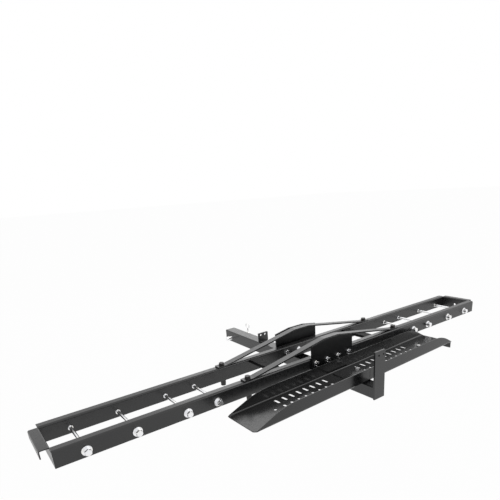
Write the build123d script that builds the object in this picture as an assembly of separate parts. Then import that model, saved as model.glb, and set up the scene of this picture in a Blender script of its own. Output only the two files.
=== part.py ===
"""Hitch-mounted carrier for one two-wheeler, with its loading ramp stored on the front bar.

Frame: X runs along the rails, +Y points to the towing vehicle and +Z up.
The origin is on the hitch tube's centre line, at the axis of the hitch pin.
All sizes are millimetres.
"""

import os

from build123d import *

# Hitch tube, a square shank that slides into a 2 inch receiver
TUBE_SIZE = 50.8
TUBE_WALL = 3.0
TUBE_CORNER = 4.0
TUBE_BEYOND_PIN = 61.0
TUBE_PAST_NEAR_PLATE = 6.0

# Front bar, a smaller square tube that slides into the hitch tube and ends at the post
BAR_SIZE = 44.4
BAR_WALL = 3.0
BAR_IN_TUBE = 60.0
NEAR_RAIL_TO_POST = 219.6

# Rails, four lengths of bent angle that make two rails with a joint at the middle
RAIL_SPAN = 1930.0
RAIL_HEIGHT = 50.0
RAIL_FLANGE = 25.0
RAIL_THICK = 3.0
RAIL_BEND = 6.0
RAIL_JOINT = 1.0
RAIL_SPACING = 162.0
RAIL_ABOVE_TUBE = 12.0
PIN_TO_NEAR_RAIL = 648.0

# End brackets, bent sheet that closes each end and forms a ledge for the ramp
LEDGE_REACH = 22.5
LIP_DROP = 24.0
BRACKET_THICK = 3.0
BRACKET_BEND = 5.0
END_HOLE = 11.0
END_HOLE_HEIGHT = 19.0

# Fasteners: thread diameter, across flats, head height, nut height, washer outer diameter and thickness
M8 = {"d": 8.0, "flats": 13.0, "head": 5.3, "nut": 6.5}
M10 = {"d": 10.0, "flats": 17.0, "head": 7.0, "nut": 8.0, "washer": 21.0, "washer_t": 2.0}
M10_SMALL_NUT = {"d": 10.0, "flats": 14.0, "nut": 6.0}
M10_WIDE_WASHER = {"d": 10.0, "washer": 28.0, "washer_t": 2.5}
HOLE_PLAY = 1.0
THREAD_PLAY = 0.2
BOLT_TAIL = 4.0
RAMP_BOLT_TAIL = 2.0
HEX_CROWN_SHARE = 1.12
HEX_EASE_SHARE = 0.07

# Cross bolts that carry the wheels and hold the rails apart
CROSS_BOLT_PLACES = (475.0, 372.0, 217.0, 80.0)
CROSS_BOLT_HEIGHT = 19.2
HEAD_TO_NUT_GAP = 0.5

# Box bars welded under the rails' flanges, either side of the middle
CROSS_BAR_PLACE = 238.5
CROSS_BAR_WIDTH = 37.0
CROSS_BAR_DEPTH = 11.0
CROSS_BAR_WALL = 2.0

# Arched straps that stiffen the rail joint
STRAP_THICK = 5.0
STRAP_HALF_LENGTH = 387.0
STRAP_FOOT_LENGTH = 35.0
STRAP_CROWN = 35.0
STRAP_RISE = 55.0
STRAP_BEND = 40.0
STRAP_BOLT_FROM_END = 20.0
STRAP_BOLT_INSET = 13.2
STANDOFF_WIDTH = 19.0
STANDOFF_BELOW_RAIL = 13.0

# Centre plates that stand on the hitch tube
PLATE_WIDTH = 206.0
PLATE_THICK = 5.0
PLATE_OVER_STRAP = 3.0
PLATE_BOLT_PLACES = (-83.0, -27.0, 27.0, 83.0)
PLATE_BOLT_HEIGHT = 29.5
FAR_PLATE_OFFSET = 35.0
SPACER_WIDTH = 18.0

# Post at the front and upright at the rear, each with a pair of holes
POST_WIDTH = 50.0
POST_THICK = 6.0
POST_ABOVE_RAIL = 61.4
POST_HOLE = 9.0
POST_HOLE_DROP = 16.8
POST_PAIR_MIDDLE = 4.0
UPRIGHT_WIDTH = 51.0
UPRIGHT_THICK = 5.0
UPRIGHT_HEIGHT = 41.0
UPRIGHT_HOLE = 10.0
UPRIGHT_HOLE_DROP = 9.5
UPRIGHT_PAIR_MIDDLE = 0.0
UPRIGHT_BEHIND_PIN = 217.0
PAIR_SPACING = 23.0
PLATE_CORNER = 3.0

# Ramp, a bent channel in two halves
RAMP_WIDTH = 141.3
RAMP_HEIGHT = 47.0
RAMP_THICK = 2.5
RAMP_BEND = 8.0
RAMP_LEFT = 488.0
RAMP_RIGHT = 533.0
RAMP_JOINT_PLACE = 7.0
RAMP_JOINT = 1.0
RAMP_TAPER_LEFT = 119.0
RAMP_TAPER_RIGHT = 77.0
RAMP_TIP_LEFT = 3.0
RAMP_TIP_RIGHT = 4.0
RAMP_ROUND_LEFT = 270.0
RAMP_ROUND_RIGHT = 190.0
RAMP_CORNER_CUT = 14.0
RAMP_TO_NEAR_RAIL = 105.0
RAMP_YAW = 1.81
RAMP_REST_GAP = 0.3

# Tread slots: long ones in the outer rows and short ones along the middle
SLOT_WIDTH = 10.0
LONG_SLOT = 28.0
SHORT_SLOT = 16.0
SLOT_ROW = 38.5
SLOT_PITCH_LEFT = 31.0
SLOT_PITCH_RIGHT = 31.5
SLOT_FIRST_LEFT = 102.0
SLOT_FIRST_RIGHT = 67.5
SLOTS_LEFT = 8
SLOTS_RIGHT = 10
END_EYE = 10.5
END_EYE_PLACE = 358.0

# Splice plate on the deck over the ramp's joint, and hook plate under its right end
SPLICE_LEFT = 43.0
SPLICE_RIGHT = 60.0
SPLICE_WIDTH = 110.0
SPLICE_THICK = 2.5
SPLICE_BOLT_PLACE = 50.0
SPLICE_BOLT_ROW = 25.0
HOOK_WIDTH = 120.0
HOOK_THICK = 3.0
HOOK_START = 380.0
HOOK_BEYOND_DECK = 12.0
HOOK_DROP = 28.0
HOOK_BEND = 6.0
HOOK_BOLT_PLACE = 402.0

# Hitch pin, headed at its left end and held by a hairpin clip at the other
PIN_SIZE = 15.9
PIN_PLAY = 0.2
PIN_HEAD = 19.0
PIN_HEAD_LENGTH = 13.0
PIN_HEAD_PLACE = 61.0
PIN_TIP = 76.0
PIN_CHAMFER = 2.0
CLIP_WIRE = 3.0
CLIP_PLAY = 0.2
CLIP_PLACE = 64.0
CLIP_LEG = 18.0
CLIP_NECK = 25.0
CLIP_NECK_GAP = 0.5
CLIP_LOOP_WIDTH = 26.0
CLIP_LOOP_TOP = 49.0
CLIP_SHOULDER_RISE = 6.0
CLIP_CROWN_DROP = 5.0
CLIP_BOW_GAP = 1.2
CLIP_BEND = 4.0

# Levels and places worked out from the sizes above
tube_top = TUBE_SIZE / 2
rail_bottom = tube_top + RAIL_ABOVE_TUBE
rail_top = rail_bottom + RAIL_HEIGHT
near_y = -PIN_TO_NEAR_RAIL
far_y = near_y + RAIL_SPACING
rail_end = RAIL_SPAN / 2
strap_crown_z = rail_top + STRAP_RISE
strap_foot = STRAP_HALF_LENGTH - STRAP_FOOT_LENGTH
strap_bolt_place = STRAP_HALF_LENGTH - STRAP_BOLT_FROM_END
near_plate_y = near_y - PLATE_THICK
far_plate_y = far_y + RAIL_THICK + FAR_PLATE_OFFSET
tube_front_y = near_plate_y - TUBE_PAST_NEAR_PLATE
post_y = near_y - NEAR_RAIL_TO_POST
bar_top = BAR_SIZE / 2
cross_bolt_xs = [side * (rail_end - place) for side in (-1, 1) for place in CROSS_BOLT_PLACES]
ramp_z = bar_top + RAMP_REST_GAP
ramp_place = Location((0, near_y - RAMP_TO_NEAR_RAIL, ramp_z), (0, 0, RAMP_YAW))

TOWARD_VEHICLE = (0, 1, 0)
AWAY_FROM_VEHICLE = (0, -1, 0)
UP = (0, 0, 1)
DOWN = (0, 0, -1)


# Shared shapes


def facing(origin, direction):
    """A plane at origin whose own Z axis points along direction."""
    return Plane(origin=origin, z_dir=direction)


def bent_strip(points, thickness, inner_bend):
    """The section of a sheet whose mid-line runs through points, rounded at each corner."""
    path = FilletPolyline(*points, radius=inner_bend + thickness / 2)
    return trace(path, line_width=thickness)


def along_x(section, start, end):
    """Extrude a section drawn in Y and Z from X = start to X = end."""
    return Pos(start, 0, 0) * extrude(Plane.YZ * section, amount=end - start, dir=(1, 0, 0))


def along_y(section, start, end):
    """Extrude a section drawn in X and Z from Y = start to Y = end."""
    return Pos(0, start, 0) * extrude(Plane.XZ * section, amount=end - start, dir=TOWARD_VEHICLE)


def square_tube(size, wall, corner, start, end):
    """A square tube centred on the Y axis."""
    outer = RectangleRounded(size, size, corner)
    inner = RectangleRounded(size - 2 * wall, size - 2 * wall, corner - wall)
    return along_y(outer - inner, start, end)


def plate(x, y, z, size_x, size_y, size_z):
    """A box given by its lowest corner and its size."""
    return Pos(x, y, z) * Box(size_x, size_y, size_z, align=(Align.MIN, Align.MIN, Align.MIN))


def rod(diameter, start, end):
    """A round bar on the Z axis from start to end."""
    return Pos(0, 0, start) * Cylinder(diameter / 2, end - start, align=(Align.CENTER, Align.CENTER, Align.MIN))


def hexagon(flats, start, end):
    """A hexagonal prism on the Z axis, with its corners eased at the far end."""
    body = Pos(0, 0, start) * extrude(RegularPolygon(flats / 2, 6, major_radius=False), amount=end - start)
    crown = rod(flats * HEX_CROWN_SHARE, start, end)
    cap = chamfer(crown.edges().sort_by(Axis.Z)[-1], flats * HEX_EASE_SHARE)
    return body & cap


def hex_bolt(size, length):
    """A bolt whose head stands on Z = 0 and whose shank runs down from it."""
    return hexagon(size["flats"], 0, size["head"]) + rod(size["d"], -length, 0)


def hex_nut(size):
    """A nut that stands on Z = 0."""
    return hexagon(size["flats"], 0, size["nut"]) - rod(size["d"] + THREAD_PLAY, -1, size["nut"] + 1)


def washer(size):
    """A washer that lies on Z = 0."""
    return rod(size["washer"], 0, size["washer_t"]) - rod(size["d"] + THREAD_PLAY, -1, size["washer_t"] + 1)


def holes_along_y(places, z, diameter, start, end):
    """Drills along Y at each X place and one height."""
    return [facing((x, start, z), TOWARD_VEHICLE) * rod(diameter, 0, end - start) for x in places]


def group(shapes):
    """Separate solids kept in one node."""
    return Compound(children=[solid for shape in shapes for solid in shape.solids()])


# Rails and what closes their ends


def rail_length(y, start, end):
    """One length of rail: a web with a flange along its top, drilled for every bolt that crosses it."""
    web = RAIL_THICK / 2
    top = RAIL_HEIGHT - RAIL_THICK / 2
    section = bent_strip([(web, 0), (web, top), (RAIL_FLANGE, top)], RAIL_THICK, RAIL_BEND - RAIL_THICK)
    body = Pos(0, y, rail_bottom) * along_x(section, start, end)
    low, high = y - 1, y + RAIL_THICK + 1
    drills = holes_along_y(cross_bolt_xs, rail_bottom + CROSS_BOLT_HEIGHT, M10["d"] + HOLE_PLAY, low, high)
    drills += holes_along_y(PLATE_BOLT_PLACES, rail_bottom + PLATE_BOLT_HEIGHT, M10["d"] + HOLE_PLAY, low, high)
    for x in (-strap_bolt_place, strap_bolt_place):
        drills.append(Pos(x, y + STRAP_BOLT_INSET, 0) * rod(M10["d"] + HOLE_PLAY, rail_top - RAIL_BEND, rail_top + 1))
    return body - drills


def end_bracket(side):
    """Bent sheet at one end: a wall between the rails, a ledge outwards and a lip down."""
    half = BRACKET_THICK / 2
    wall_x = rail_end - half
    lip_x = rail_end + LEDGE_REACH + half
    ledge_z = rail_top - half
    points = [(wall_x, rail_bottom), (wall_x, ledge_z), (lip_x, ledge_z), (lip_x, rail_top - LIP_DROP)]
    section = bent_strip([(side * x, z) for x, z in points], BRACKET_THICK, BRACKET_BEND - BRACKET_THICK)
    body = along_y(section, near_y + RAIL_FLANGE, far_y)
    tongue_x = side * wall_x - half
    tongue_height = RAIL_HEIGHT - RAIL_BEND
    web_inside = near_y + RAIL_THICK
    tongue = plate(tongue_x, web_inside, rail_bottom, BRACKET_THICK, RAIL_FLANGE - RAIL_THICK, tongue_height)
    hole_y = (near_y + RAIL_FLANGE + far_y) / 2
    hole = facing((side * wall_x, hole_y, rail_bottom + END_HOLE_HEIGHT), (1, 0, 0)) * rod(
        END_HOLE, -BRACKET_THICK, BRACKET_THICK
    )
    return body + tongue - hole


# Bolts and bars across the rails


def cross_bolt_parts():
    """Cross bolts with their washers, the nuts inside the rails and the nuts outside them."""
    z = rail_bottom + CROSS_BOLT_HEIGHT
    near_in = near_y + RAIL_THICK
    far_out = far_y + RAIL_THICK
    near_nut_y = near_y - M10_WIDE_WASHER["washer_t"]
    head_y = near_nut_y - M10["nut"] - HEAD_TO_NUT_GAP
    end_y = far_out + M10["washer_t"] + M10["nut"] + BOLT_TAIL
    bolts, washers, inner_nuts, outer_nuts = [], [], [], []
    for x in cross_bolt_xs:
        bolts.append(facing((x, head_y, z), AWAY_FROM_VEHICLE) * hex_bolt(M10, end_y - head_y))
        washers.append(facing((x, near_y, z), AWAY_FROM_VEHICLE) * washer(M10_WIDE_WASHER))
        washers.append(facing((x, far_out, z), TOWARD_VEHICLE) * washer(M10))
        inner_nuts.append(facing((x, near_in, z), TOWARD_VEHICLE) * hex_nut(M10_SMALL_NUT))
        inner_nuts.append(facing((x, far_y, z), AWAY_FROM_VEHICLE) * hex_nut(M10_SMALL_NUT))
        outer_nuts.append(facing((x, near_nut_y, z), AWAY_FROM_VEHICLE) * hex_nut(M10))
        outer_nuts.append(facing((x, far_out + M10["washer_t"], z), TOWARD_VEHICLE) * hex_nut(M10))
    return group(bolts), group(washers), group(inner_nuts), group(outer_nuts)


def cross_bars():
    """Box bars between the webs, coped at the near end to clear the bend under the flange."""
    near_in = near_y + RAIL_THICK
    outer = Rectangle(CROSS_BAR_WIDTH, CROSS_BAR_DEPTH)
    inner = Rectangle(CROSS_BAR_WIDTH - 2 * CROSS_BAR_WALL, CROSS_BAR_DEPTH - 2 * CROSS_BAR_WALL)
    z = rail_top - RAIL_THICK - CROSS_BAR_DEPTH / 2
    bend = RAIL_BEND - RAIL_THICK
    bars = []
    for x in (-CROSS_BAR_PLACE, CROSS_BAR_PLACE):
        bar = Pos(x, 0, z) * along_y(outer - inner, near_in, far_y)
        left = x - CROSS_BAR_WIDTH / 2
        cope_z = rail_top - RAIL_THICK - bend
        bars.append(bar - plate(left, near_in, cope_z, CROSS_BAR_WIDTH, bend, RAIL_BEND))
    return group(bars)


# Straps over the rail joint


def strap_z(x):
    """Height of a strap's underside at a place along the rails, between its foot and its crown."""
    share = (strap_foot - abs(x)) / (strap_foot - STRAP_CROWN)
    return rail_top + STRAP_RISE * share


def strap(y):
    """A flat bar bent up from the flange to a level crown and down again."""
    low = rail_top + STRAP_THICK / 2
    high = strap_crown_z + STRAP_THICK / 2
    outline = [(STRAP_CROWN, high), (strap_foot, low), (STRAP_HALF_LENGTH, low)]
    points = [(-x, z) for x, z in reversed(outline)] + outline
    body = along_y(bent_strip(points, STRAP_THICK, STRAP_BEND), y, y + RAIL_FLANGE)
    holes = [
        Pos(x, y + STRAP_BOLT_INSET, 0) * rod(M10["d"] + HOLE_PLAY, rail_top - 1, low + STRAP_THICK)
        for x in (-strap_bolt_place, strap_bolt_place)
    ]
    return body - holes


def strap_bolt_parts():
    """Bolts down through strap and flange, each with a standoff tube and a nut below the rail."""
    strap_top = rail_top + STRAP_THICK
    flange_bottom = rail_top - RAIL_THICK
    standoff_bottom = rail_bottom - STANDOFF_BELOW_RAIL
    head_z = strap_top + M10["washer_t"]
    end_z = standoff_bottom - M10["nut"]
    tube = rod(STANDOFF_WIDTH, standoff_bottom, flange_bottom)
    tube = chamfer(tube.edges().sort_by(Axis.Z)[-1], RAIL_BEND - RAIL_THICK)
    tube = tube - rod(M10["d"] + HOLE_PLAY, standoff_bottom, flange_bottom)
    bolts, washers, standoffs, nuts = [], [], [], []
    for x in (-strap_bolt_place, strap_bolt_place):
        for y in (near_y + STRAP_BOLT_INSET, far_y + STRAP_BOLT_INSET):
            bolts.append(facing((x, y, head_z), UP) * hex_bolt(M10, head_z - end_z))
            washers.append(facing((x, y, strap_top), UP) * washer(M10))
            standoffs.append(Pos(x, y, 0) * tube)
            nuts.append(facing((x, y, standoff_bottom), DOWN) * hex_nut(M10))
    return group(bolts), group(washers), group(standoffs), group(nuts)


# Centre plates and their bolts


def centre_plate(y):
    """A plate on the hitch tube whose top edge follows the strap, a little above its underside."""
    half = PLATE_WIDTH / 2
    shoulder = strap_z(half) + PLATE_OVER_STRAP
    crown = strap_crown_z + PLATE_OVER_STRAP
    outline = Polyline(
        (-half, tube_top),
        (half, tube_top),
        (half, shoulder),
        (STRAP_CROWN, crown),
        (-STRAP_CROWN, crown),
        (-half, shoulder),
        close=True,
    )
    body = along_y(make_face(outline), y, y + PLATE_THICK)
    z = rail_bottom + PLATE_BOLT_HEIGHT
    return body - holes_along_y(PLATE_BOLT_PLACES, z, M10["d"] + HOLE_PLAY, y - 1, y + PLATE_THICK + 1)


def near_plate_fasteners():
    """Bolts from the near plate through the near web, with washers outside and nuts inside."""
    z = rail_bottom + PLATE_BOLT_HEIGHT
    near_in = near_y + RAIL_THICK
    head_y = near_plate_y - M10["washer_t"]
    length = near_in + M10["nut"] + BOLT_TAIL - head_y
    bolts = [facing((x, head_y, z), AWAY_FROM_VEHICLE) * hex_bolt(M10, length) for x in PLATE_BOLT_PLACES]
    washers = [facing((x, near_plate_y, z), AWAY_FROM_VEHICLE) * washer(M10) for x in PLATE_BOLT_PLACES]
    nuts = [facing((x, near_in, z), TOWARD_VEHICLE) * hex_nut(M10) for x in PLATE_BOLT_PLACES]
    return group(bolts), group(washers), group(nuts)


def far_plate_fasteners():
    """Long bolts from the far web through spacers to the far plate, with washers and nuts behind it."""
    z = rail_bottom + PLATE_BOLT_HEIGHT
    far_out = far_y + RAIL_THICK
    plate_back = far_plate_y + PLATE_THICK
    nut_y = plate_back + M10["washer_t"]
    length = nut_y + M10["nut"] + BOLT_TAIL - far_y
    bore = M10["d"] + HOLE_PLAY
    spacer = rod(SPACER_WIDTH, 0, FAR_PLATE_OFFSET) - rod(bore, 0, FAR_PLATE_OFFSET)
    bolts = [facing((x, far_y, z), AWAY_FROM_VEHICLE) * hex_bolt(M10, length) for x in PLATE_BOLT_PLACES]
    spacers = [facing((x, far_out, z), TOWARD_VEHICLE) * spacer for x in PLATE_BOLT_PLACES]
    washers = [facing((x, plate_back, z), TOWARD_VEHICLE) * washer(M10) for x in PLATE_BOLT_PLACES]
    nuts = [facing((x, nut_y, z), TOWARD_VEHICLE) * hex_nut(M10) for x in PLATE_BOLT_PLACES]
    return group(bolts), group(spacers), group(washers), group(nuts)


# Hitch tube, front bar, post and upright


def hitch_tube():
    """The main square tube, drilled across for the hitch pin."""
    body = square_tube(TUBE_SIZE, TUBE_WALL, TUBE_CORNER, tube_front_y, TUBE_BEYOND_PIN)
    return body - facing((-TUBE_SIZE, 0, 0), (1, 0, 0)) * rod(PIN_SIZE + PIN_PLAY, 0, 2 * TUBE_SIZE)


def holed_flat(y, thickness, width, bottom, top, hole, hole_drop, pair_middle):
    """An upright flat bar across the tube, with rounded top corners and a pair of holes."""
    face = Pos(0, (bottom + top) / 2) * Rectangle(width, top - bottom)
    face = fillet(face.vertices().sort_by(Axis.Y)[-2:], PLATE_CORNER)
    body = along_y(face, y, y + thickness)
    pair = (pair_middle - PAIR_SPACING / 2, pair_middle + PAIR_SPACING / 2)
    return body - holes_along_y(pair, top - hole_drop, hole, y - 1, y + thickness + 1)


# Ramp, drawn along X with its deck's underside on Z = 0


def ramp_half(joint_end, tip, taper, tip_height, taper_round):
    """One half of the channel: flanges up, tapering to the deck at its outer end."""
    edge = RAMP_WIDTH / 2 - RAMP_THICK / 2
    deck = RAMP_THICK / 2
    section = bent_strip(
        [(-edge, RAMP_HEIGHT), (-edge, deck), (edge, deck), (edge, RAMP_HEIGHT)], RAMP_THICK, RAMP_BEND - RAMP_THICK
    )
    channel = along_x(section, min(joint_end, tip), max(joint_end, tip))
    shoulder = tip + taper
    side = Polygon(
        (joint_end, 0), (tip, 0), (tip, tip_height), (shoulder, RAMP_HEIGHT), (joint_end, RAMP_HEIGHT), align=None
    )
    side = fillet(side.vertices().sort_by_distance((shoulder, RAMP_HEIGHT))[0], taper_round)
    return channel & along_y(side, -RAMP_WIDTH / 2, RAMP_WIDTH / 2)


def corner_cut(tip):
    """Cutter for the front corner of the deck at its left tip."""
    front = -RAMP_WIDTH / 2
    corner = Polygon((tip, front), (tip + RAMP_CORNER_CUT, front), (tip, front + RAMP_CORNER_CUT), align=None)
    return extrude(corner, amount=RAMP_HEIGHT, dir=UP)


def tread_slots(columns):
    """Cutters for three rows of slots at each column."""
    long_slot = extrude(SlotOverall(LONG_SLOT, SLOT_WIDTH, rotation=90), amount=2 * RAMP_THICK, both=True)
    short_slot = extrude(SlotOverall(SHORT_SLOT, SLOT_WIDTH, rotation=90), amount=2 * RAMP_THICK, both=True)
    cutters = []
    for x in columns:
        cutters.append(Pos(x, SLOT_ROW, 0) * long_slot)
        cutters.append(Pos(x, 0, 0) * short_slot)
        cutters.append(Pos(x, -SLOT_ROW, 0) * long_slot)
    return cutters


def ramp_bolts_at(places, head_z, nut_z):
    """Bolts down through the deck and the sheet joined to it, with their nuts and their holes."""
    length = head_z - nut_z + M8["nut"] + RAMP_BOLT_TAIL
    bolts = [Pos(x, y, head_z) * hex_bolt(M8, length) for x, y in places]
    nuts = [facing((x, y, nut_z), DOWN) * hex_nut(M8) for x, y in places]
    holes = [Pos(x, y, 0) * rod(M8["d"] + HOLE_PLAY, nut_z - 1, head_z + 1) for x, y in places]
    return bolts, nuts, holes


def ramp_parts():
    """All the pieces of the ramp, in place on the front bar."""
    splice_places = [(SPLICE_BOLT_PLACE, row) for row in (-SPLICE_BOLT_ROW, SPLICE_BOLT_ROW)]
    splice_bolts, splice_nuts, splice_holes = ramp_bolts_at(splice_places, RAMP_THICK + SPLICE_THICK, 0)
    hook_bolts, hook_nuts, hook_holes = ramp_bolts_at([(HOOK_BOLT_PLACE, 0)], RAMP_THICK, -HOOK_THICK)
    left_joint = RAMP_JOINT_PLACE - RAMP_JOINT / 2
    left = ramp_half(left_joint, -RAMP_LEFT, RAMP_TAPER_LEFT, RAMP_TIP_LEFT, RAMP_ROUND_LEFT)
    left_columns = [-SLOT_FIRST_LEFT - SLOT_PITCH_LEFT * n for n in range(SLOTS_LEFT)]
    end_eye = Pos(-END_EYE_PLACE, 0, 0) * rod(END_EYE, -RAMP_THICK, 2 * RAMP_THICK)
    right_joint = RAMP_JOINT_PLACE + RAMP_JOINT / 2
    right = ramp_half(right_joint, RAMP_RIGHT, -RAMP_TAPER_RIGHT, RAMP_TIP_RIGHT, RAMP_ROUND_RIGHT)
    right_columns = [SLOT_FIRST_RIGHT + SLOT_PITCH_RIGHT * n for n in range(SLOTS_RIGHT)]
    splice_length = SPLICE_LEFT + SPLICE_RIGHT
    splice = plate(-SPLICE_LEFT, -SPLICE_WIDTH / 2, RAMP_THICK, splice_length, SPLICE_WIDTH, SPLICE_THICK)
    half = HOOK_THICK / 2
    lip_x = RAMP_RIGHT + HOOK_BEYOND_DECK - half
    hook_points = [(HOOK_START, -half), (lip_x, -half), (lip_x, -HOOK_DROP)]
    hook = along_y(bent_strip(hook_points, HOOK_THICK, HOOK_BEND - HOOK_THICK), -HOOK_WIDTH / 2, HOOK_WIDTH / 2)
    shapes = {
        "ramp_left_half": left - tread_slots(left_columns) - end_eye - corner_cut(-RAMP_LEFT),
        "ramp_right_half": right - tread_slots(right_columns) - splice_holes - hook_holes,
        "ramp_splice_plate": splice - splice_holes,
        "ramp_splice_bolts": group(splice_bolts),
        "ramp_splice_nuts": group(splice_nuts),
        "ramp_hook_plate": hook - hook_holes,
        "ramp_hook_bolt": group(hook_bolts),
        "ramp_hook_nut": group(hook_nuts),
    }
    return {name: ramp_place * shape for name, shape in shapes.items()}


# Hitch pin and clip


def hitch_pin():
    """A straight round pin across the tube, headed at its left end and cross-drilled near its tip."""
    shank = rod(PIN_SIZE, -PIN_HEAD_PLACE, PIN_TIP)
    shank = chamfer(shank.edges().sort_by(Axis.Z)[-1], PIN_CHAMFER)
    head = rod(PIN_HEAD, -PIN_HEAD_PLACE, -PIN_HEAD_PLACE + PIN_HEAD_LENGTH)
    head = chamfer(head.edges().sort_by(Axis.Z)[0], PIN_CHAMFER)
    body = facing((0, 0, 0), (1, 0, 0)) * (shank + head)
    return body - Pos(CLIP_PLACE, 0, 0) * rod(CLIP_WIRE + CLIP_PLAY, -PIN_SIZE, PIN_SIZE)


def hitch_clip():
    """A hairpin of spring wire: one straight leg through the pin, a loop above, one bowed leg beside the pin."""
    bow = PIN_SIZE / 2 + CLIP_WIRE / 2 + CLIP_BOW_GAP
    neck = CLIP_WIRE + CLIP_NECK_GAP
    half = CLIP_LOOP_WIDTH / 2
    middle = neck / 2
    shoulder = CLIP_NECK + CLIP_SHOULDER_RISE
    crown = CLIP_LOOP_TOP - CLIP_CROWN_DROP
    outline = [
        (0, -CLIP_LEG),
        (0, CLIP_NECK),
        (middle - half, shoulder),
        (middle - half, crown),
        (middle, CLIP_LOOP_TOP),
        (middle + half, crown),
        (middle + half, shoulder),
        (neck, CLIP_NECK),
        (neck, bow + CLIP_BEND),
        (bow, bow / 2),
        (bow, -bow / 2),
        (bow + CLIP_WIRE, -CLIP_LEG),
    ]
    path = FilletPolyline(*[(CLIP_PLACE, y, z) for y, z in outline], radius=CLIP_BEND)
    section = facing((CLIP_PLACE, 0, -CLIP_LEG), UP) * Circle(CLIP_WIRE / 2)
    return sweep(section, path=path)


# Every node by name


def build_nodes():
    """Make each named piece once."""
    joint = RAIL_JOINT / 2
    nodes = {
        "rail_near_left": rail_length(near_y, -rail_end, -joint),
        "rail_near_right": rail_length(near_y, joint, rail_end),
        "rail_far_left": rail_length(far_y, -rail_end, -joint),
        "rail_far_right": rail_length(far_y, joint, rail_end),
        "end_bracket_left": end_bracket(-1),
        "end_bracket_right": end_bracket(1),
        "centre_cross_bars": cross_bars(),
        "strap_near": strap(near_y),
        "strap_far": strap(far_y),
        "centre_plate_near": centre_plate(near_plate_y),
        "centre_plate_far": centre_plate(far_plate_y),
        "hitch_tube": hitch_tube(),
        "front_bar": square_tube(BAR_SIZE, BAR_WALL, TUBE_CORNER, post_y, tube_front_y + BAR_IN_TUBE),
        "ramp_post": holed_flat(
            post_y - POST_THICK,
            POST_THICK,
            POST_WIDTH,
            -BAR_SIZE / 2,
            rail_top + POST_ABOVE_RAIL,
            POST_HOLE,
            POST_HOLE_DROP,
            POST_PAIR_MIDDLE,
        ),
        "rear_upright": holed_flat(
            -UPRIGHT_BEHIND_PIN,
            UPRIGHT_THICK,
            UPRIGHT_WIDTH,
            tube_top,
            tube_top + UPRIGHT_HEIGHT,
            UPRIGHT_HOLE,
            UPRIGHT_HOLE_DROP,
            UPRIGHT_PAIR_MIDDLE,
        ),
        "hitch_pin": hitch_pin(),
        "hitch_clip": hitch_clip(),
    }
    cross_names = ("cross_bolts", "cross_bolt_washers", "cross_bolt_inner_nuts", "cross_bolt_outer_nuts")
    nodes.update(zip(cross_names, cross_bolt_parts()))
    strap_names = ("strap_bolts", "strap_bolt_washers", "strap_standoffs", "strap_bolt_nuts")
    nodes.update(zip(strap_names, strap_bolt_parts()))
    nodes.update(zip(("near_plate_bolts", "near_plate_washers", "near_plate_nuts"), near_plate_fasteners()))
    far_names = ("far_plate_bolts", "far_plate_spacers", "far_plate_washers", "far_plate_nuts")
    nodes.update(zip(far_names, far_plate_fasteners()))
    nodes.update(ramp_parts())
    return nodes


os.makedirs("parts", exist_ok=True)
for name, shape in build_nodes().items():
    export_step(shape, f"parts/{name}.step")
    print(name, len(shape.solids()), round(shape.volume), "mm3")
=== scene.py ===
# %% [markdown]
# # A hitch carrier for one two-wheeler
# The carrier is black powder-coated sheet steel held together with plated bolts. Every rigid piece already
# exists as a CAD node, so Blender's work is the finish: coatings, plating, threads, weld beads and the
# studio. The imported model is loaded first, each piece is set in place in world space, and the empties
# are removed.

import math

import bmesh
import bpy
from mathutils import Matrix, Vector


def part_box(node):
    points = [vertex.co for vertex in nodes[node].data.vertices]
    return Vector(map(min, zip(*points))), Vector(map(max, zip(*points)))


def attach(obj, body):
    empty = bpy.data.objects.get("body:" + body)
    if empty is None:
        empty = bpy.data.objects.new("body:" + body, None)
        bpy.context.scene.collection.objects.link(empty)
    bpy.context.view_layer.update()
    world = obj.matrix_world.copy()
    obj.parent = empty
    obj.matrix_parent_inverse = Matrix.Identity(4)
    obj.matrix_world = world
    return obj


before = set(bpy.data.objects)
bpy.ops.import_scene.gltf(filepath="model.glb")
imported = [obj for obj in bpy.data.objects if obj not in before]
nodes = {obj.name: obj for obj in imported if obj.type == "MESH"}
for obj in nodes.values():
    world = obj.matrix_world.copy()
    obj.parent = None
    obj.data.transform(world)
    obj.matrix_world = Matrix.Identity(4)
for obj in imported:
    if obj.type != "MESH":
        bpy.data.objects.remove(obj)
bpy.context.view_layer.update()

# %% [markdown]
# ## The camera
# The viewpoint stands in front of the ramp and to its left, a little above the rails, and leans slightly,
# as a hand-framed product picture does. Its axes are worked out from three turns, because a camera looks
# along its own -Z with +Y up. The small shift only places the carrier low in the frame, as in the
# photograph.

# %% Camera at the photograph's angle
CAMERA_PLACE = Vector((-1.0745, -1.7481, 0.6674))
CAMERA_TURN = math.radians(-36.697)
CAMERA_DIP = math.radians(20.548)
CAMERA_LEAN = math.radians(-3.474)
CAMERA_LENS = 31.863
CAMERA_SHIFT = (-0.0526, 0.2055)
SENSOR_WIDTH = 36
SEEN_FROM, SEEN_TO = 0.05, 200


def camera_axes(turn, dip, lean):
    """Right, up and back directions of a camera that has been turned, dipped and leaned."""
    ahead = Vector((-math.sin(turn) * math.cos(dip), math.cos(turn) * math.cos(dip), -math.sin(dip)))
    level = Vector((math.cos(turn), math.sin(turn), 0))
    upright = level.cross(ahead)
    right = math.cos(lean) * level + math.sin(lean) * upright
    up = -math.sin(lean) * level + math.cos(lean) * upright
    return right, up, -ahead


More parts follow.
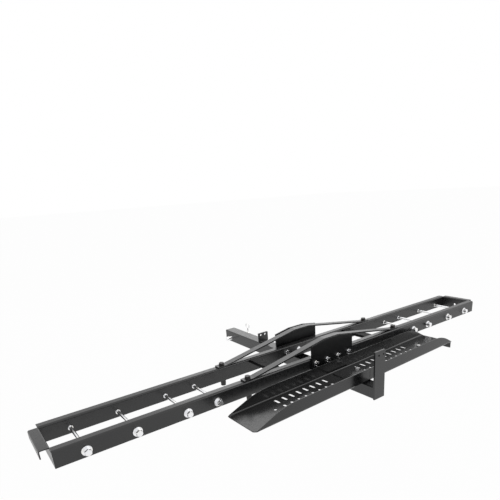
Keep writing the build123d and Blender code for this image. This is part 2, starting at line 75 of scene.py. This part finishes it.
axes = camera_axes(CAMERA_TURN, CAMERA_DIP, CAMERA_LEAN)
lens = bpy.data.cameras.new("studio_camera")
lens.lens = CAMERA_LENS
lens.sensor_width = SENSOR_WIDTH
lens.shift_x, lens.shift_y = CAMERA_SHIFT
lens.clip_start, lens.clip_end = SEEN_FROM, SEEN_TO
camera = bpy.data.objects.new("studio_camera", lens)
bpy.context.scene.collection.objects.link(camera)
camera.matrix_world = Matrix.Translation(CAMERA_PLACE) @ Matrix(axes).transposed().to_4x4()
bpy.context.scene.camera = camera
bpy.context.scene.view_settings.view_transform = "Standard"
print("camera looks along", [round(v, 3) for v in -axes[2]])

# %% [markdown]
# ## Small tools for node materials
# A node material is a graph, and a small class keeps it readable. It starts a material, adds nodes and
# fills their inputs, makes noise of a given grain in metres, and turns a grey pattern into a range of
# values. All of it reads Object coordinates, which stay put on the steel whatever the camera does.

# %% Node helpers
# The Mix node has a set of sockets for each kind of value. These are the ones for colours.
MIX_FIRST, MIX_SECOND, MIX_RESULT = 6, 7, 2


class Finish:
    """A new material with its graph, its shader and Object coordinates at hand."""

    def __init__(self, name, colour, roughness, metallic=0.0):
        self.material = bpy.data.materials.new(name)
        self.material.use_nodes = True
        self.tree = self.material.node_tree
        self.shader = self.tree.nodes["Principled BSDF"]
        self.shader.inputs["Base Color"].default_value = (*colour, 1)
        self.shader.inputs["Roughness"].default_value = roughness
        self.shader.inputs["Metallic"].default_value = metallic
        self.places = self.node("ShaderNodeTexCoord").outputs["Object"]

    def node(self, kind, settings=None, **inputs):
        """Add a node. Settings are its own options; inputs are values or sockets to join, by name."""
        made = self.tree.nodes.new(kind)
        for option, value in (settings or {}).items():
            setattr(made, option, value)
        for name, value in inputs.items():
            self.fill(made.inputs[name.replace("_", " ")], value)
        return made

    def fill(self, socket, value):
        """Join a pattern to a socket, or set a plain value on it."""
        if isinstance(value, bpy.types.NodeSocket):
            self.tree.links.new(value, socket)
        else:
            socket.default_value = value

    def noise(self, grain, detail=3.0, roughness=0.55):
        """Noise whose features are about grain metres across."""
        made = self.node("ShaderNodeTexNoise", Scale=1 / grain, Detail=detail, Roughness=roughness)
        self.tree.links.new(self.places, made.inputs["Vector"])
        return made.outputs["Fac"]

    def spread(self, fac, low, high, start=0.3, end=0.7):
        """A grey pattern stretched so that start becomes low and end becomes high."""
        made = self.node("ShaderNodeMapRange", Value=fac)
        for name, value in (("From Min", start), ("From Max", end), ("To Min", low), ("To Max", high)):
            made.inputs[name].default_value = value
        return made.outputs["Result"]

    def blend(self, fac, first, second):
        """Two colours mixed by a grey pattern."""
        made = self.node("ShaderNodeMix", {"data_type": "RGBA"})
        self.tree.links.new(fac, made.inputs["Factor"])
        for place, value in ((MIX_FIRST, first), (MIX_SECOND, second)):
            colour = value if isinstance(value, bpy.types.NodeSocket) else (*value, 1)
            self.fill(made.inputs[place], colour)
        return made.outputs[MIX_RESULT]

    def times(self, first, second):
        """The product of two grey patterns."""
        made = self.node("ShaderNodeMath", {"operation": "MULTIPLY"})
        self.tree.links.new(first, made.inputs[0])
        self.tree.links.new(second, made.inputs[1])
        return made.outputs[0]

    def passes(self, test, value, limit):
        """1 where a value is greater or less than a limit, and 0 elsewhere."""
        made = self.node("ShaderNodeMath", {"operation": test})
        self.tree.links.new(value, made.inputs[0])
        made.inputs[1].default_value = limit
        return made.outputs[0]

    def bump(self, height, depth, under=None):
        """A bump of depth metres, on top of the bump or bevel below it."""
        made = self.node("ShaderNodeBump", Height=height, Strength=1.0, Distance=depth)
        if under is not None:
            self.tree.links.new(under, made.inputs["Normal"])
        return made.outputs["Normal"]

    def give(self, socket, value):
        """Join a pattern to one of the shader's sockets."""
        self.tree.links.new(value, self.shader.inputs[socket])


print("node helpers ready")

# %% [markdown]
# ## Black powder coat
# Powder coat is a baked skin of plastic, about a tenth of a millimetre thick. It is glossy but slightly
# dimpled, like orange peel, it flows thin over sharp edges, and handling leaves faint dull patches. A
# rounded normal stands for the way the skin softens each sheet edge. The same normal, compared with the
# flat one, finds the edges, and there the colour goes a little paler, in patches: partly wear, and partly a
# painted highlight along the edges. A bevel modifier could round the edges too, but it would change the CAD
# meshes.

# %% One powder coat
EDGE_ROUND = 0.0008
EDGE_SAMPLES = 6
SHARP_LIKENESS = 0.80
FLAT_LIKENESS = 0.995
PEEL_GRAIN = 0.0022
PEEL_DEPTH = 0.00002
PATCH_GRAIN = 0.06
PATCH_PALER = 1.25
HANDLING_GRAIN = 0.012
RUBBED_LEAST = 0.15
RUBBED_FROM, RUBBED_TO = 0.42, 0.62
COAT_SMOOTHER, COAT_ROUGHER = 0.05, 0.07


def edge_mask(finish, rounded):
    """Near 1 close to sharp edges and 0 on flat steel."""
    flat = finish.node("ShaderNodeNewGeometry").outputs["Normal"]
    likeness = finish.node("ShaderNodeVectorMath", {"operation": "DOT_PRODUCT"})
    finish.tree.links.new(rounded, likeness.inputs[0])
    finish.tree.links.new(flat, likeness.inputs[1])
    return finish.spread(likeness.outputs["Value"], 1.0, 0.0, SHARP_LIKENESS, FLAT_LIKENESS)


def powder_coat(name, colour, edge_wear_and_highlight, roughness, dimple, gloss):
    """A dimpled black skin with softened edges, paler there from wear and from a painted highlight."""
    finish = Finish(name, colour, roughness)
    rounded = finish.node("ShaderNodeBevel", {"samples": EDGE_SAMPLES}, Radius=EDGE_ROUND).outputs["Normal"]
    patches = finish.noise(PATCH_GRAIN, detail=4)
    handling = finish.noise(HANDLING_GRAIN, detail=5, roughness=0.65)
    rubbing = finish.spread(handling, RUBBED_LEAST, 1.0, RUBBED_FROM, RUBBED_TO)
    # Paler edges in patches: partly wear, partly a painted highlight along the edges.
    wear_and_highlight_edges = finish.times(edge_mask(finish, rounded), rubbing)
    paler = tuple(PATCH_PALER * c for c in colour)
    shade = finish.blend(finish.spread(patches, 0, 1), colour, paler)
    finish.give("Base Color", finish.blend(wear_and_highlight_edges, shade, edge_wear_and_highlight))
    dullness = finish.spread(handling, roughness - COAT_SMOOTHER, roughness + COAT_ROUGHER)
    finish.give("Roughness", dullness)
    peel = finish.noise(PEEL_GRAIN, detail=1.5)
    finish.give("Normal", finish.bump(peel, PEEL_DEPTH * dimple, rounded))
    finish.shader.inputs["Specular IOR Level"].default_value = gloss
    return finish.material


print("edges are rounded by", EDGE_ROUND, "m in the light only")

# %% [markdown]
# ## The coats of the carrier
# The same black skin is set differently for each kind of piece. The rails, tubes and straps are evenly
# glossy. The ramp's thin sheet is smoother, and its much paler edges are a painted highlight along its folds.
# The centre plates get a darker, drier copy of the coat as painted shade, and the box bars between the
# rails the dullest copy, whose low gloss is painted shade on their tops. One function with a few settings
# for each coat keeps them alike.

# %% Four coats
COATS = {
    "black_powder_coat": {
        "colour": (0.0062, 0.0064, 0.0069),
        "edge_wear_and_highlight": (0.026, 0.027, 0.029),
        "roughness": 0.30,
        "dimple": 1.0,
        "gloss": 0.70,
    },
    # The ramp's much paler edge colour is a painted highlight along its folds.
    "ramp_powder_coat": {
        "colour": (0.0045, 0.0046, 0.0050),
        "edge_wear_and_highlight": (0.060, 0.061, 0.065),
        "roughness": 0.22,
        "dimple": 0.8,
        "gloss": 0.62,
    },
    # A darker, drier copy of the coat: painted shade on the centre plates.
    "centre_plate_painted_shade_coat": {
        "colour": (0.0035, 0.0036, 0.0040),
        "edge_wear_and_highlight": (0.024, 0.025, 0.027),
        "roughness": 0.34,
        "dimple": 1.2,
        "gloss": 0.30,
    },
    # The dullest copy of the coat: its low gloss is painted shade on the bars' tops.
    "cross_bar_painted_shade_coat": {
        "colour": (0.0060, 0.0062, 0.0066),
        "edge_wear_and_highlight": (0.016, 0.017, 0.018),
        "roughness": 0.55,
        "dimple": 1.5,
        "gloss": 0.12,
    },
}
carrier_coat, ramp_coat, plate_shade_coat, bar_shade_coat = [
    powder_coat(name, **settings) for name, settings in COATS.items()
]
print("coats:", carrier_coat.name, ramp_coat.name, plate_shade_coat.name, bar_shade_coat.name)

# %% [markdown]
# ## Black oxide
# The bolts through the straps are black too, but theirs is a thin oxide on bare steel. It has no skin to
# shine, so it is drier than the coat, with a hint of brown where the oil has gone.

# %% Black oxide
OIL_GRAIN = 0.004
OILED = (0.014, 0.014, 0.015)
OIL_GONE = (0.030, 0.026, 0.022)
OILED_ROUGHNESS, DRY_ROUGHNESS = 0.30, 0.50
OXIDE_GRAIN = 0.0008
OXIDE_DEPTH = 0.00002

oxide = Finish("black_oxide_bolt", (0.020, 0.019, 0.018), 0.40)
oil = oxide.noise(OIL_GRAIN, detail=4)
oxide.give("Base Color", oxide.blend(oxide.spread(oil, 0, 1), OILED, OIL_GONE))
oxide.give("Roughness", oxide.spread(oil, OILED_ROUGHNESS, DRY_ROUGHNESS))
oxide.give("Normal", oxide.bump(oxide.noise(OXIDE_GRAIN, detail=2), OXIDE_DEPTH))
black_oxide = oxide.material
print("oxide:", black_oxide.name)

# %% [markdown]
# ## Zinc plate
# Zinc-plated bolts are bright but never mirror-clean. The plating is cloudy at the scale of a fingertip,
# slightly blue in places and straw-yellow in others, with fine marks from tumbling in a barrel.

# %% Zinc plating
CLOUD_GRAIN = 0.007
CLOUD_DARK, CLOUD_LIGHT = (0.82, 0.83, 0.85), (0.97, 0.97, 0.98)
CLOUD_SMOOTHER, CLOUD_ROUGHER = 0.08, 0.12
STRAW = (0.88, 0.82, 0.66)
STRAW_GRAIN = 0.018
STRAW_MOST = 0.30
STRAW_FROM, STRAW_TO = 0.50, 0.70
TUMBLE_GRAIN = 0.0009
TUMBLE_DEPTH = 0.000015
THREAD_DEPTH = 0.00045
WAVE_UNIT = math.pi / 10


def thread_ridges(finish, axis, pitch, start, end):
    """A ridge at each thread pitch along one axis, between two places in metres."""
    bands = {"wave_type": "BANDS", "bands_direction": axis, "wave_profile": "SIN"}
    wave = finish.node("ShaderNodeTexWave", bands, Scale=WAVE_UNIT / pitch)
    finish.tree.links.new(finish.places, wave.inputs["Vector"])
    along = finish.node("ShaderNodeSeparateXYZ", Vector=finish.places).outputs[axis]
    after = finish.passes("GREATER_THAN", along, start)
    before = finish.passes("LESS_THAN", along, end)
    return finish.times(wave.outputs["Fac"], finish.times(after, before))


def zinc(name, roughness=0.20, thread=None):
    """Cloudy bright plating, with an optional thread given as axis, pitch, start and end."""
    finish = Finish(name, (0.90, 0.91, 0.92), roughness, metallic=1.0)
    clouds = finish.noise(CLOUD_GRAIN, detail=4)
    tint = finish.noise(STRAW_GRAIN, detail=2)
    bright = finish.blend(finish.spread(clouds, 0, 1), CLOUD_DARK, CLOUD_LIGHT)
    strawy = finish.spread(tint, 0, STRAW_MOST, STRAW_FROM, STRAW_TO)
    finish.give("Base Color", finish.blend(strawy, bright, STRAW))
    finish.give("Roughness", finish.spread(clouds, roughness - CLOUD_SMOOTHER, roughness + CLOUD_ROUGHER))
    normal = finish.bump(finish.noise(TUMBLE_GRAIN, detail=2), TUMBLE_DEPTH)
    if thread:
        normal = finish.bump(thread_ridges(finish, *thread), THREAD_DEPTH, normal)
    finish.give("Normal", normal)
    return finish.material


print("one wave a metre long needs a scale of", round(WAVE_UNIT, 4))

# %% [markdown]
# ## The bright finishes
# Nuts, washers and short bolts share the plain plating. The cross bolts are threaded at their far end. A
# thread is a ridge every 1.5 mm, far too fine for geometry here, so a wave drives the bump along the bolt,
# and a mask from the place along it keeps it off the heads. The pin is smoother and the clip's wire duller.

# %% Four bright finishes
THREAD_PITCH = 0.0015
THREAD_INSIDE_RAIL = 0.030
THREAD_BEYOND_RAIL = 0.060

far_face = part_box("rail_far_left")[1].y
cross_thread = ("Y", THREAD_PITCH, far_face - THREAD_INSIDE_RAIL, far_face + THREAD_BEYOND_RAIL)
plain_zinc = zinc("zinc_plated_steel")
cross_zinc = zinc("zinc_cross_bolt", thread=cross_thread)
pin_finish = zinc("bright_zinc_pin", roughness=0.16)
wire_finish = zinc("spring_wire", roughness=0.24)
print("zinc finishes:", plain_zinc.name, cross_zinc.name, pin_finish.name, wire_finish.name)

# %% [markdown]
# ## Dressing the CAD pieces
# Each piece keeps its CAD mesh and gets its finish through the object's own material slot, so the shared
# mesh data carries no finish. Every piece is zinc-plated first, and then those with another finish change.

# %% Finishes onto pieces
WORN_BY = {
    carrier_coat: (
        "rail_near_left rail_near_right rail_far_left rail_far_right end_bracket_left end_bracket_right "
        "strap_near strap_far hitch_tube front_bar ramp_post rear_upright"
    ),
    plate_shade_coat: "centre_plate_near centre_plate_far",
    bar_shade_coat: "centre_cross_bars",
    ramp_coat: "ramp_left_half ramp_right_half ramp_splice_plate ramp_hook_plate",
    black_oxide: "strap_bolts strap_bolt_washers strap_standoffs strap_bolt_nuts",
    cross_zinc: "cross_bolts",
    pin_finish: "hitch_pin",
    wire_finish: "hitch_clip",
}


def wear(piece, material):
    """Put a material on a piece through its object's slots."""
    if not piece.material_slots:
        piece.data.materials.append(None)
    for place in piece.material_slots:
        place.link = "OBJECT"
        place.material = material


for node in nodes.values():
    wear(node, plain_zinc)
for material, names in WORN_BY.items():
    for name in names.split():
        wear(nodes[name], material)
print("dressed", len(nodes), "pieces")

# %% [markdown]
# ## How a weld bead is made
# A bead is a row of small overlapping puddles laid into a corner, and half of it sinks into the steel. A
# swept curve would give a smooth cord, so a circle is extruded step by step along the corner instead, and
# every second ring is drawn in, which gives the ripples.

# %% A rippled bead
BEAD_STEP = 0.0022
BEAD_SIDES = 10
FEWEST_STEPS = 4
END_SHARE = 0.55
DRAWN_IN_SHARE = 0.80


def bead(mesh, start, end, radius):
    """Lay one rippled bead into a bmesh, from start to end."""
    start, end = Vector(start), Vector(end)
    turn = (end - start).normalized().to_track_quat("Z", "Y").to_matrix().to_4x4()
    steps = max(FEWEST_STEPS, round((end - start).length / BEAD_STEP))
    ring = bmesh.ops.create_circle(
        mesh,
        cap_ends=True,
        segments=BEAD_SIDES,
        radius=radius * END_SHARE,
        matrix=Matrix.Translation(start) @ turn,
    )["verts"]
    face = next(f for f in ring[0].link_faces if len(f.verts) == BEAD_SIDES)
    for step in range(1, steps + 1):
        made = bmesh.ops.extrude_face_region(mesh, geom=[face])["geom"]
        bmesh.ops.delete(mesh, geom=[face], context="FACES_ONLY")
        face = next(g for g in made if isinstance(g, bmesh.types.BMFace))
        centre = start.lerp(end, step / steps)
        wanted = END_SHARE if step == steps else (1.0 if step % 2 else DRAWN_IN_SHARE)
        middle = face.calc_center_median()
        size = (face.verts[0].co - middle).length
        for v in face.verts:
            v.co = centre + (v.co - middle) * (radius * wanted / size)


def weld(name, lines, radius, body="carrier", coat=carrier_coat):
    """One piece with a bead along each line, smooth-shaded and coated like the steel around it."""
    mesh = bmesh.new()
    for start, end in lines:
        bead(mesh, start, end, radius)
    bmesh.ops.recalc_face_normals(mesh, faces=mesh.faces)
    data = bpy.data.meshes.new(name)
    mesh.to_mesh(data)
    mesh.free()
    data.shade_smooth()
    piece = bpy.data.objects.new(name, data)
    bpy.context.scene.collection.objects.link(piece)
    data.materials.append(coat)
    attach(piece, body)
    print(name, "beads:", len(lines), "faces:", len(data.polygons))


print("a bead has a ring every", BEAD_STEP, "m")

# %% [markdown]
# ## Welds of the frame
# The post is welded to the front bar, the bar to the hitch tube, and the upright and the centre plates
# stand on the tube. The corners are read from the boxes of the pieces that meet there, so the beads follow
# the CAD. They stop short of round corners, as a welder would.

# %% Beads on the tube, the bar, the post and the plates
POST_BEAD = 0.0026
TUBE_BEAD = 0.0028
CORNER_INSET = 0.004
PLATE_BEAD_HALF = 0.021


def around_square(half, y):
    """Four lines round a square section on the Y axis, stopped short of its round corners."""
    near = half - CORNER_INSET
    return [
        ((-near, y, half), (near, y, half)),
        ((-near, y, -half), (near, y, -half)),
        ((-half, y, -near), (-half, y, near)),
        ((half, y, -near), (half, y, near)),
    ]


tube_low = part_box("hitch_tube")[0]
bar_low, bar_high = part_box("front_bar")
post_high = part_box("ramp_post")[1]
bar_half = (bar_high.x - bar_low.x) / 2
weld("weld_post_to_bar", around_square(bar_half, post_high.y), POST_BEAD)
weld("weld_bar_to_tube", around_square(bar_half, tube_low.y), TUBE_BEAD)

upright_low, upright_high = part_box("rear_upright")
left, right, foot = upright_low.x + CORNER_INSET, upright_high.x - CORNER_INSET, upright_low.z
upright_lines = [((left, y, foot), (right, y, foot)) for y in (upright_low.y, upright_high.y)]
weld("weld_upright_to_tube", upright_lines, TUBE_BEAD)

plate_lines = []
for plate_name in ("centre_plate_near", "centre_plate_far"):
    plate_low, plate_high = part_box(plate_name)
    for y in (plate_low.y, plate_high.y):
        plate_lines.append(((-PLATE_BEAD_HALF, y, plate_low.z), (PLATE_BEAD_HALF, y, plate_low.z)))
weld("weld_plates_to_tube", plate_lines, TUBE_BEAD)

# %% [markdown]
# ## The ramp's splice weld
# The splice plate is welded to the left half of the ramp and bolted to the right half, so that the ramp
# comes apart for storage. The ramp lies slightly askew on the bar, so its bead lines are drawn square to
# the ramp and then turned with it.

# %% Beads round the splice plate
RAMP_TURN = math.radians(1.81)
RAMP_CENTRE = Vector((0, -0.753, 0.0225))
DECK_TOP = 0.0025
SPLICE_END = -0.043
SPLICE_HALF = 0.055
STITCH_LENGTH = 0.030
STITCH_STARTS = (-0.050, -0.015, 0.020)
SPLICE_BEAD = 0.0020


def on_ramp(x, y, z):
    """A place given square to the ramp, turned and moved with it."""
    return RAMP_CENTRE + Matrix.Rotation(RAMP_TURN, 3, "Z") @ Vector((x, y, z))


stitches = [((SPLICE_END, y, DECK_TOP), (SPLICE_END, y + STITCH_LENGTH, DECK_TOP)) for y in STITCH_STARTS]
for side in (-SPLICE_HALF, SPLICE_HALF):
    stitches.append(((SPLICE_END, side, DECK_TOP), (SPLICE_END + STITCH_LENGTH, side, DECK_TOP)))
splice_lines = [(on_ramp(*start), on_ramp(*end)) for start, end in stitches]
weld("weld_splice", splice_lines, SPLICE_BEAD, "ramp", ramp_coat)

# %% [markdown]
# ## The studio's air
# The photograph shows a white studio, and black gloss looks right only when it has white surroundings to
# mirror. The world is an even soft light. Where the camera or a reflection looks past the carrier, it meets
# plain white, which adds nothing to that soft light.

# %% World
ROOM_LIGHT = 0.40
PURE_WHITE = (1, 1, 1, 1)


def seen_by_eye_or_gloss(tree):
    """1 for camera, mirror and glass rays, and 0 for the rays that only carry light."""
    path = tree.nodes.new("ShaderNodeLightPath")
    seen = path.outputs["Is Camera Ray"]
    for kind in ("Is Glossy Ray", "Is Transmission Ray"):
        either = tree.nodes.new("ShaderNodeMath")
        either.operation = "MAXIMUM"
        tree.links.new(seen, either.inputs[0])
        tree.links.new(path.outputs[kind], either.inputs[1])
        seen = either.outputs[0]
    return seen


world = bpy.data.worlds.new("studio_air")
world.use_nodes = True
bpy.context.scene.world = world
sky = world.node_tree
air = sky.nodes["Background"]
air.inputs["Color"].default_value = PURE_WHITE
air.inputs["Strength"].default_value = ROOM_LIGHT
white = sky.nodes.new("ShaderNodeBackground")
white.inputs["Color"].default_value = PURE_WHITE
choice = sky.nodes.new("ShaderNodeMixShader")
sky.links.new(seen_by_eye_or_gloss(sky), choice.inputs["Fac"])
sky.links.new(air.outputs[0], choice.inputs[1])
sky.links.new(white.outputs[0], choice.inputs[2])
sky.links.new(choice.outputs[0], sky.nodes["World Output"].inputs["Surface"])
print("room light", ROOM_LIGHT)

# %% [markdown]
# ## The floor
# The carrier hangs at hitch height, so the floor lies well below it and its shadow is wide and faint. Lit
# paper alone would render grey under lamps that suit the steel, so most of what the camera and the gloss
# see of it is its own white, and the small rest is lit paper, which keeps the shadow.

# %% Paper floor
FLOOR_DEPTH = -0.42
FLOOR_REACH = 40
PAPER_COLOUR = (0.9, 0.9, 0.9, 1)
PAPER_ROUGHNESS = 0.9
PAPER_WHITE_SHARE = 0.975

sheet = bmesh.new()
floor_level = Matrix.Translation((0, 0, FLOOR_DEPTH))
bmesh.ops.create_grid(sheet, x_segments=1, y_segments=1, size=FLOOR_REACH, matrix=floor_level)
floor_data = bpy.data.meshes.new("studio_floor")
sheet.to_mesh(floor_data)
sheet.free()
floor = bpy.data.objects.new("studio_floor", floor_data)
bpy.context.scene.collection.objects.link(floor)
paper = bpy.data.materials.new("floor_paper")
paper.use_nodes = True
fibres = paper.node_tree
matt = fibres.nodes["Principled BSDF"]
matt.inputs["Base Color"].default_value = PAPER_COLOUR
matt.inputs["Roughness"].default_value = PAPER_ROUGHNESS
matt.inputs["Specular IOR Level"].default_value = 0
glow = fibres.nodes.new("ShaderNodeEmission")
share = fibres.nodes.new("ShaderNodeMath")
share.operation = "MULTIPLY"
fibres.links.new(seen_by_eye_or_gloss(fibres), share.inputs[0])
share.inputs[1].default_value = PAPER_WHITE_SHARE
paper_mix = fibres.nodes.new("ShaderNodeMixShader")
fibres.links.new(share.outputs[0], paper_mix.inputs["Fac"])
fibres.links.new(matt.outputs[0], paper_mix.inputs[1])
fibres.links.new(glow.outputs[0], paper_mix.inputs[2])
fibres.links.new(paper_mix.outputs[0], fibres.nodes["Material Output"].inputs["Surface"])
floor_data.materials.append(paper)
print("floor at", FLOOR_DEPTH, "m")

# %% [markdown]
# ## The softboxes
# Three large square lamps shape the steel. The key stands in front and to the right and lights the faces
# that look at the camera, the top one hangs behind and draws the bright line along flanges and straps, and
# a small one fills the left side. Area lamps are used because a point or a sun would leave hard spots on
# gloss.

# %% Lamps
LAMPS = {
    "key_softbox": {"place": (2.2, -3.0, 1.1), "size": 2.4, "watts": 26},
    "top_softbox": {"place": (2.1, 2.4, 2.0), "size": 2.8, "watts": 22},
    "side_softbox": {"place": (-2.4, -0.6, 2.2), "size": 1.6, "watts": 8},
}
AIM = Vector((0, -0.6, 0))


def softbox(name, place, size, watts):
    """A large square lamp at place, aimed at the middle of the carrier."""
    lamp = bpy.data.lights.new(name, "AREA")
    lamp.size = size
    lamp.energy = watts
    box = bpy.data.objects.new(name, lamp)
    bpy.context.scene.collection.objects.link(box)
    box.location = place
    box.rotation_mode = "QUATERNION"
    box.rotation_quaternion = (Vector(place) - AIM).to_track_quat("Z", "Y")
    print(name, "at", place, watts, "W")


for name, settings in LAMPS.items():
    softbox(name, **settings)
